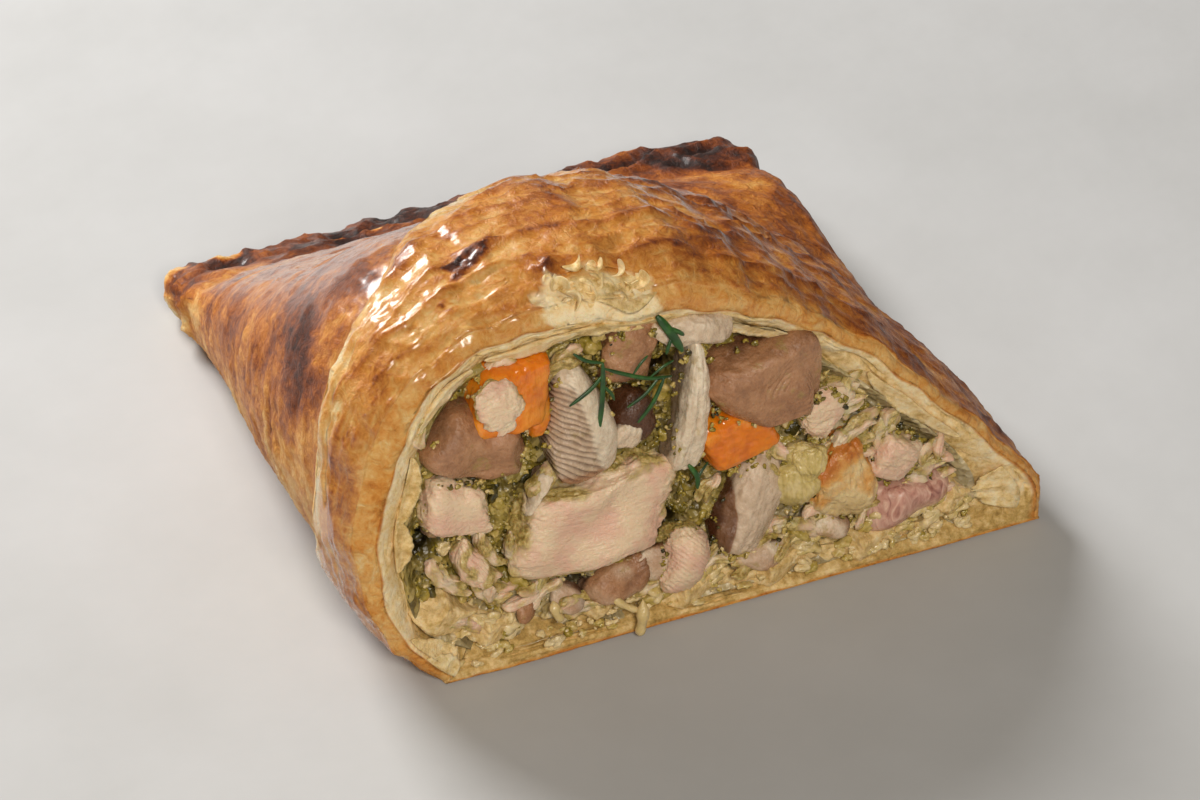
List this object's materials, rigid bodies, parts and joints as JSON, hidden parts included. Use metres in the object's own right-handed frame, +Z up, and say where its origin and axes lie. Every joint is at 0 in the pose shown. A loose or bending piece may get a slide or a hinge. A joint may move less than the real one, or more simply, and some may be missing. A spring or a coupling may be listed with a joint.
{
  "type": "turnover pastry half",
  "caption": "Half of a baked savoury turnover, cut across: a folded pastry crust with a pressed closed end, filled with chicken, mushroom and pumpkin pieces.",
  "frame": {"origin": "middle of the underside of the bounding box, on the surface that the pastry rests on", "axes": "+Z up; -Y is the side of the cut, +Y the pressed closed end; -X is the tall folded side, +X the thin sealed side"},
  "size_m": [0.1048, 0.1034, 0.0599],
  "materials": {
    "crust": "baked puff pastry, golden to dark brown, egg-washed and glossy, creamy and flaky where cut",
    "filling": "moist olive-green herb sauce with fine shreds",
    "chicken": "cooked chicken, pale pink-white, fibrous, slightly moist",
    "mushroom": "cooked mushroom, tan skin and paler flesh, moist",
    "pumpkin": "cooked pumpkin, deep orange, moist",
    "leek": "soft yellow-green leek, moist",
    "ham": "cooked ham, mauve pink, moist",
    "crouton": "toasted golden pastry scrap",
    "herb": "fresh dill, dark green, slightly glossy"
  },
  "bodies": {
    "root": {"crust": "crust", "filling": "filling", "chicken_chunk": "chicken", "chicken_bit_left": "chicken", "chicken_bit_right": "chicken", "chicken_right": "chicken", "chicken_shred_left": "chicken", "chicken_strip_low": "chicken", "mushroom_cap_left": "mushroom", "mushroom_cap_right": "mushroom", "mushroom_gills": "mushroom", "mushroom_low": "mushroom", "mushroom_slice_middle": "mushroom", "mushroom_slice_top": "mushroom", "mushroom_stem_top": "mushroom", "mushroom_strip": "mushroom", "mushroom_wedge": "mushroom", "pumpkin_dice_left": "pumpkin", "pumpkin_dice_right": "pumpkin", "leek": "leek", "ham": "ham", "crouton": "crouton"}
  },
  "joints": []
}
